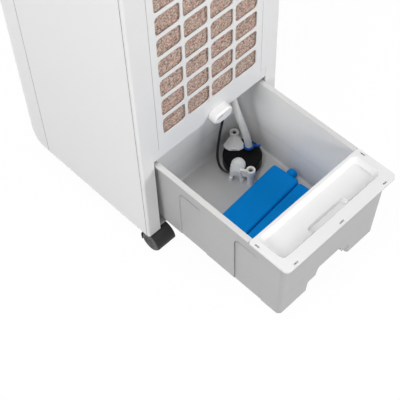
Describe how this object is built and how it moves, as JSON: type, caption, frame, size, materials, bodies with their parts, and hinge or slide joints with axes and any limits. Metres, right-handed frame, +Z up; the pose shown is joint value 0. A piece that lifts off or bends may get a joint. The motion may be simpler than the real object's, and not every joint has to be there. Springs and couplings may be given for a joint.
{
  "type": "evaporative cooler",
  "caption": "Upright evaporative cooler on casters, its rear water tank drawn out on rails to show pump and ice packs; grille and pad above, louvred outlet in front.",
  "frame": {"origin": "on the floor under the middle of the box around the whole cooler, tank drawn out", "axes": "+Z up; the rear, with the grille and the drawn-out tank, faces +Y; the air outlet faces -Y; +X is the side on the left when one looks at the rear"},
  "size_m": [0.3, 0.618, 0.802],
  "materials": {
    "white_moulding": "fine satin white",
    "tank_plastic": "satin pale grey",
    "grey_moulding": "matt grey",
    "light_moulding": "satin light grey",
    "dark_moulding": "matt dark grey",
    "black_moulding": "satin black",
    "motor_steel": "dark painted steel",
    "pack_blue": "satin blue",
    "clip_blue": "satin blue",
    "pad_fibre": "rough fibre",
    "lens_dark": "polished smoked",
    "zinc_steel": "zinc plated",
    "board_green": "solder mask",
    "hose_rubber": "smooth pale rubber",
    "cable_rubber": "smooth black rubber"
  },
  "bodies": {
    "cabinet": {"rear_housing": "white_moulding", "front_shell": "white_moulding", "base_pan": "grey_moulding", "tank_rail_left": "grey_moulding", "tank_rail_right": "grey_moulding", "mid_deck": "grey_moulding", "top_cover": "white_moulding", "intake_grille": "white_moulding", "cooling_pad": "pad_fibre", "water_trough": "light_moulding", "water_riser": "light_moulding", "blower_scroll": "grey_moulding", "blower_motor": "motor_steel", "outlet_frame": "dark_moulding", "swing_motor": "light_moulding", "control_panel": "dark_moulding", "display_lens": "lens_dark", "control_board": "board_green", "cord_gland": "black_moulding"},
    "tank_drawer": {"tank": "tank_plastic", "tank_lid": "white_moulding", "ice_pack_rear": "pack_blue", "ice_pack_front": "pack_blue", "pump_motor": "black_moulding", "pump_lug": "light_moulding", "pump_cover": "light_moulding", "pump_screw_rear": "zinc_steel", "pump_screw_front": "zinc_steel", "hose": "hose_rubber", "hose_clip": "clip_blue", "pump_cable": "cable_rubber"},
    "impeller": {"pump_impeller": "light_moulding"},
    "latch": {"latch_knob": "white_moulding"},
    "blower": {"blower_wheel": "light_moulding"},
    "louvre_1": {"louvre_1": "white_moulding"},
    "louvre_2": {"louvre_2": "white_moulding"},
    "louvre_3": {"louvre_3": "white_moulding"},
    "louvre_4": {"louvre_4": "white_moulding"},
    "louvre_5": {"louvre_5": "white_moulding"},
    "louvre_link": {"louvre_link": "dark_moulding"},
    "vane_1": {"vane_1": "dark_moulding"},
    "vane_2": {"vane_2": "dark_moulding"},
    "vane_3": {"vane_3": "dark_moulding"},
    "vane_4": {"vane_4": "dark_moulding"},
    "vane_link": {"vane_link": "dark_moulding"},
    "button_1": {"button_1": "white_moulding"},
    "button_2": {"button_2": "white_moulding"},
    "button_3": {"button_3": "white_moulding"},
    "button_4": {"button_4": "white_moulding"},
    "button_5": {"button_5": "white_moulding"},
    "caster_rear_left": {"caster_hood_rear_left": "black_moulding"},
    "wheels_rear_left": {"caster_wheels_rear_left": "dark_moulding"},
    "caster_rear_right": {"caster_hood_rear_right": "black_moulding"},
    "wheels_rear_right": {"caster_wheels_rear_right": "dark_moulding"},
    "caster_front_left": {"caster_hood_front_left": "black_moulding"},
    "wheels_front_left": {"caster_wheels_front_left": "dark_moulding"},
    "caster_front_right": {"caster_hood_front_right": "black_moulding"},
    "wheels_front_right": {"caster_wheels_front_right": "dark_moulding"}
  },
  "joints": [
    {"name": "tank_slide", "type": "slide", "parent": "cabinet", "child": "tank_drawer", "axis": [0, 1, 0], "range_m": [-0.275, 0], "deforming": ["hose", "pump_cable"]},
    {"name": "impeller_spin", "type": "hinge", "parent": "tank_drawer", "child": "impeller", "pos_m": [-0.0605, 0.0448, 0.072], "axis": [0, 0, 1], "continuous": true},
    {"name": "latch_turn", "type": "hinge", "parent": "cabinet", "child": "latch", "pos_m": [-0.0125, 0.042, 0.2336], "axis": [0, 1, 0], "range_deg": [0, 90]},
    {"name": "blower_spin", "type": "hinge", "parent": "cabinet", "child": "blower", "pos_m": [0, -0.1585, 0.405], "axis": [0, 1, 0], "continuous": true},
    {"name": "louvre_1_tilt", "type": "hinge", "parent": "cabinet", "child": "louvre_1", "pos_m": [0, -0.284, 0.578], "axis": [1, 0, 0], "range_deg": [-30, 30]},
    {"name": "louvre_2_tilt", "type": "hinge", "parent": "cabinet", "child": "louvre_2", "pos_m": [0, -0.284, 0.604], "axis": [1, 0, 0], "range_deg": [-30, 30]},
    {"name": "louvre_3_tilt", "type": "hinge", "parent": "cabinet", "child": "louvre_3", "pos_m": [0, -0.284, 0.63], "axis": [1, 0, 0], "range_deg": [-30, 30]},
    {"name": "louvre_4_tilt", "type": "hinge", "parent": "cabinet", "child": "louvre_4", "pos_m": [0, -0.284, 0.656], "axis": [1, 0, 0], "range_deg": [-30, 30]},
    {"name": "louvre_5_tilt", "type": "hinge", "parent": "cabinet", "child": "louvre_5", "pos_m": [0, -0.284, 0.682], "axis": [1, 0, 0], "range_deg": [-30, 30]},
    {"name": "louvre_link_turn", "type": "hinge", "parent": "louvre_1", "child": "louvre_link", "pos_m": [0.093, -0.272, 0.578], "axis": [1, 0, 0], "range_deg": [-30, 30]},
    {"name": "vane_1_swing", "type": "hinge", "parent": "cabinet", "child": "vane_1", "pos_m": [-0.072, -0.251, 0.63], "axis": [0, 0, 1], "range_deg": [-30, 30]},
    {"name": "vane_2_swing", "type": "hinge", "parent": "cabinet", "child": "vane_2", "pos_m": [-0.024, -0.251, 0.63], "axis": [0, 0, 1], "range_deg": [-30, 30]},
    {"name": "vane_3_swing", "type": "hinge", "parent": "cabinet", "child": "vane_3", "pos_m": [0.024, -0.251, 0.63], "axis": [0, 0, 1], "range_deg": [-30, 30]},
    {"name": "vane_4_swing", "type": "hinge", "parent": "cabinet", "child": "vane_4", "pos_m": [0.072, -0.251, 0.63], "axis": [0, 0, 1], "range_deg": [-30, 30]},
    {"name": "vane_link_turn", "type": "hinge", "parent": "vane_1", "child": "vane_link", "pos_m": [-0.072, -0.239, 0.565], "axis": [0, 0, 1], "range_deg": [-30, 30]},
    {"name": "button_1_press", "type": "slide", "parent": "cabinet", "child": "button_1", "axis": [0, 0, -1], "range_m": [0, 0.0015], "stiffness_N_per_m": 300},
    {"name": "button_2_press", "type": "slide", "parent": "cabinet", "child": "button_2", "axis": [0, 0, -1], "range_m": [0, 0.0015], "stiffness_N_per_m": 300},
    {"name": "button_3_press", "type": "slide", "parent": "cabinet", "child": "button_3", "axis": [0, 0, -1], "range_m": [0, 0.0015], "stiffness_N_per_m": 300},
    {"name": "button_4_press", "type": "slide", "parent": "cabinet", "child": "button_4", "axis": [0, 0, -1], "range_m": [0, 0.0015], "stiffness_N_per_m": 300},
    {"name": "button_5_press", "type": "slide", "parent": "cabinet", "child": "button_5", "axis": [0, 0, -1], "range_m": [0, 0.0015], "stiffness_N_per_m": 300},
    {"name": "caster_rear_left_swivel", "type": "hinge", "parent": "cabinet", "child": "caster_rear_left", "pos_m": [0.126, 0.014, 0.045], "axis": [0, 0, 1], "continuous": true},
    {"name": "wheels_rear_left_roll", "type": "hinge", "parent": "caster_rear_left", "child": "wheels_rear_left", "pos_m": [0.126, 0.028, 0.0195], "axis": [1, 0, 0], "continuous": true},
    {"name": "caster_rear_right_swivel", "type": "hinge", "parent": "cabinet", "child": "caster_rear_right", "pos_m": [-0.126, 0.014, 0.045], "axis": [0, 0, 1], "continuous": true},
    {"name": "wheels_rear_right_roll", "type": "hinge", "parent": "caster_rear_right", "child": "wheels_rear_right", "pos_m": [-0.126, 0.028, 0.0195], "axis": [1, 0, 0], "continuous": true},
    {"name": "caster_front_left_swivel", "type": "hinge", "parent": "cabinet", "child": "caster_front_left", "pos_m": [0.107, -0.211, 0.045], "axis": [0, 0, 1], "continuous": true},
    {"name": "wheels_front_left_roll", "type": "hinge", "parent": "caster_front_left", "child": "wheels_front_left", "pos_m": [0.107, -0.197, 0.0195], "axis": [1, 0, 0], "continuous": true},
    {"name": "caster_front_right_swivel", "type": "hinge", "parent": "cabinet", "child": "caster_front_right", "pos_m": [-0.107, -0.211, 0.045], "axis": [0, 0, 1], "continuous": true},
    {"name": "wheels_front_right_roll", "type": "hinge", "parent": "caster_front_right", "child": "wheels_front_right", "pos_m": [-0.107, -0.197, 0.0195], "axis": [1, 0, 0], "continuous": true}
  ],
  "couplings": [
    {"joint": "louvre_2_tilt", "follows": "louvre_1_tilt", "ratio": 1},
    {"joint": "louvre_3_tilt", "follows": "louvre_1_tilt", "ratio": 1},
    {"joint": "louvre_4_tilt", "follows": "louvre_1_tilt", "ratio": 1},
    {"joint": "louvre_5_tilt", "follows": "louvre_1_tilt", "ratio": 1},
    {"joint": "louvre_link_turn", "follows": "louvre_1_tilt", "ratio": -1},
    {"joint": "vane_2_swing", "follows": "vane_1_swing", "ratio": 1},
    {"joint": "vane_3_swing", "follows": "vane_1_swing", "ratio": 1},
    {"joint": "vane_4_swing", "follows": "vane_1_swing", "ratio": 1},
    {"joint": "vane_link_turn", "follows": "vane_1_swing", "ratio": -1}
  ]
}
